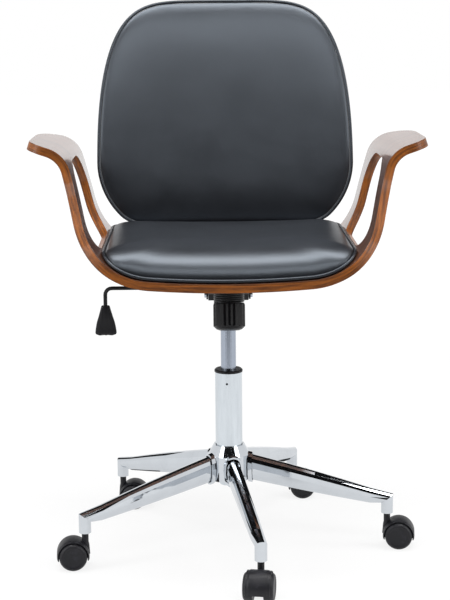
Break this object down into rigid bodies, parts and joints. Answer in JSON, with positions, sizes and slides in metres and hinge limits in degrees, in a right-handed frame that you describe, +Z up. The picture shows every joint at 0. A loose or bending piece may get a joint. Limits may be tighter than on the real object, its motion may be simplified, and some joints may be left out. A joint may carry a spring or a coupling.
{
  "type": "office chair",
  "caption": "Swivel office chair with bent plywood arms and shell, black leather cushions, tilt mechanism, gas lift and a chromed star base on twin-wheel casters.",
  "frame": {"origin": "on the floor under the column's axis", "axes": "+Z up along the column, the sitter faces -Y, +X at the sitter's left hand"},
  "size_m": [0.6958, 0.6715, 0.9963],
  "materials": {
    "chrome": "polished",
    "brushed_steel": "satin",
    "dark_steel": "satin black",
    "black_plastic": "matte",
    "wheel_rubber": "matte",
    "black_leather": "satin",
    "plywood": "lacquered"
  },
  "bodies": {
    "base": {"base_hub": "chrome", "base_leg_1": "chrome", "base_leg_2": "chrome", "base_leg_3": "chrome", "base_leg_4": "chrome", "base_leg_5": "chrome", "column_tube": "chrome", "column_bushing": "black_plastic"},
    "rod": {"piston_rod": "brushed_steel", "thrust_bearing": "brushed_steel", "retaining_clip": "dark_steel"},
    "lift": {"gas_cylinder": "brushed_steel", "mechanism_housing": "dark_steel", "pivot_shaft": "brushed_steel", "tilt_spring": "dark_steel", "front_bumper": "wheel_rubber"},
    "valve": {"valve_button": "brushed_steel"},
    "lever_ball": {"lever_pivot": "black_plastic"},
    "lever": {"lever_rod": "brushed_steel", "lever_grip": "black_plastic"},
    "seat": {"seat_plate": "dark_steel", "tension_screw": "dark_steel", "arm_shell": "plywood", "back_shell": "plywood", "seat_cushion": "black_leather", "seat_piping": "black_leather", "back_cushion": "black_leather", "back_piping": "black_leather", "seat_bolt_1": "brushed_steel", "seat_bolt_2": "brushed_steel", "seat_bolt_3": "brushed_steel", "seat_bolt_4": "brushed_steel"},
    "washer": {"spring_washer": "dark_steel"},
    "knob": {"tension_knob": "black_plastic"},
    "caster_1": {"caster_stem_1": "brushed_steel", "caster_hood_1": "wheel_rubber", "caster_axle_1": "brushed_steel"},
    "wheel_1_left": {"caster_wheel_1_left": "wheel_rubber"},
    "wheel_1_right": {"caster_wheel_1_right": "wheel_rubber"},
    "caster_2": {"caster_stem_2": "brushed_steel", "caster_hood_2": "wheel_rubber", "caster_axle_2": "brushed_steel"},
    "wheel_2_left": {"caster_wheel_2_left": "wheel_rubber"},
    "wheel_2_right": {"caster_wheel_2_right": "wheel_rubber"},
    "caster_3": {"caster_stem_3": "brushed_steel", "caster_hood_3": "wheel_rubber", "caster_axle_3": "brushed_steel"},
    "wheel_3_left": {"caster_wheel_3_left": "wheel_rubber"},
    "wheel_3_right": {"caster_wheel_3_right": "wheel_rubber"},
    "caster_4": {"caster_stem_4": "brushed_steel", "caster_hood_4": "wheel_rubber", "caster_axle_4": "brushed_steel"},
    "wheel_4_left": {"caster_wheel_4_left": "wheel_rubber"},
    "wheel_4_right": {"caster_wheel_4_right": "wheel_rubber"},
    "caster_5": {"caster_stem_5": "brushed_steel", "caster_hood_5": "wheel_rubber", "caster_axle_5": "brushed_steel"},
    "wheel_5_left": {"caster_wheel_5_left": "wheel_rubber"},
    "wheel_5_right": {"caster_wheel_5_right": "wheel_rubber"}
  },
  "joints": [
    {"name": "seat_swivel", "type": "hinge", "parent": "base", "child": "rod", "pos_m": [0, 0, 0.12], "axis": [0, 0, 1], "continuous": true},
    {"name": "height_slide", "type": "slide", "parent": "rod", "child": "lift", "axis": [0, 0, 1], "range_m": [-0.085, 0]},
    {"name": "seat_tilt", "type": "hinge", "parent": "lift", "child": "seat", "pos_m": [0, -0.05, 0.478], "axis": [-1, 0, 0], "range_deg": [0, 11], "stiffness_Nm_per_rad": 90, "springref_deg": -28.65, "deforming": ["tilt_spring"]},
    {"name": "washer_travel", "type": "slide", "parent": "seat", "child": "washer", "axis": [0, -0.2588, -0.9659], "range_m": [-0.00175, 0.00175], "deforming": ["tilt_spring"]},
    {"name": "knob_turn", "type": "hinge", "parent": "washer", "child": "knob", "pos_m": [0, -0.1, 0.4898], "axis": [0, -0.2588, -0.9659], "range_deg": [-360, 360], "deforming": ["tilt_spring"]},
    {"name": "lever_lift", "type": "hinge", "parent": "lift", "child": "lever_ball", "pos_m": [-0.03475, 0, 0.4815], "axis": [0, 1, 0], "range_deg": [0, 8], "stiffness_Nm_per_rad": 2, "springref_deg": -2.86},
    {"name": "lever_pull", "type": "slide", "parent": "lever_ball", "child": "lever", "axis": [-1, 0, 0], "range_m": [0, 0.008]},
    {"name": "valve_press", "type": "slide", "parent": "lift", "child": "valve", "axis": [0, 0, -1], "range_m": [0, 0.0054]},
    {"name": "caster_swivel_1", "type": "hinge", "parent": "base", "child": "caster_1", "pos_m": [0.04735, -0.28915, 0.06], "axis": [0, 0, 1], "continuous": true},
    {"name": "wheel_roll_1_left", "type": "hinge", "parent": "caster_1", "child": "wheel_1_left", "pos_m": [0.04353, -0.31081, 0.025], "axis": [0.9848, -0.1736, 0], "continuous": true},
    {"name": "wheel_roll_1_right", "type": "hinge", "parent": "caster_1", "child": "wheel_1_right", "pos_m": [0.04353, -0.31081, 0.025], "axis": [0.9848, -0.1736, 0], "continuous": true},
    {"name": "caster_swivel_2", "type": "hinge", "parent": "base", "child": "caster_2", "pos_m": [-0.26037, -0.13438, 0.06], "axis": [0, 0, 1], "continuous": true},
    {"name": "wheel_roll_2_left", "type": "hinge", "parent": "caster_2", "child": "wheel_2_left", "pos_m": [-0.28229, -0.13619, 0.025], "axis": [0.0819, -0.9966, 0], "continuous": true},
    {"name": "wheel_roll_2_right", "type": "hinge", "parent": "caster_2", "child": "wheel_2_right", "pos_m": [-0.28229, -0.13619, 0.025], "axis": [0.0819, -0.9966, 0], "continuous": true},
    {"name": "caster_swivel_3", "type": "hinge", "parent": "base", "child": "caster_3", "pos_m": [-0.20826, 0.2061, 0.06], "axis": [0, 0, 1], "continuous": true},
    {"name": "wheel_roll_3_left", "type": "hinge", "parent": "caster_3", "child": "wheel_3_left", "pos_m": [-0.18629, 0.20494, 0.025], "axis": [0.0523, 0.9986, 0], "continuous": true},
    {"name": "wheel_roll_3_right", "type": "hinge", "parent": "caster_3", "child": "wheel_3_right", "pos_m": [-0.18629, 0.20494, 0.025], "axis": [0.0523, 0.9986, 0], "continuous": true},
    {"name": "caster_swivel_4", "type": "hinge", "parent": "base", "child": "caster_4", "pos_m": [0.13165, 0.26176, 0.06], "axis": [0, 0, 1], "continuous": true},
    {"name": "wheel_roll_4_left", "type": "hinge", "parent": "caster_4", "child": "wheel_4_left", "pos_m": [0.15362, 0.26061, 0.025], "axis": [0.0523, 0.9986, 0], "continuous": true},
    {"name": "wheel_roll_4_right", "type": "hinge", "parent": "caster_4", "child": "wheel_4_right", "pos_m": [0.15362, 0.26061, 0.025], "axis": [0.0523, 0.9986, 0], "continuous": true},
    {"name": "caster_swivel_5", "type": "hinge", "parent": "base", "child": "caster_5", "pos_m": [0.28963, -0.04432, 0.06], "axis": [0, 0, 1], "continuous": true},
    {"name": "wheel_roll_5_left", "type": "hinge", "parent": "caster_5", "child": "wheel_5_left", "pos_m": [0.31144, -0.04719, 0.025], "axis": [0.1305, 0.9914, 0], "continuous": true},
    {"name": "wheel_roll_5_right", "type": "hinge", "parent": "caster_5", "child": "wheel_5_right", "pos_m": [0.31144, -0.04719, 0.025], "axis": [0.1305, 0.9914, 0], "continuous": true}
  ],
  "couplings": [
    {"joint": "knob_turn", "follows": "washer_travel", "rad_per_m": 3590.3},
    {"joint": "valve_press", "follows": "lever_lift", "m_per_rad": 0.0378}
  ]
}
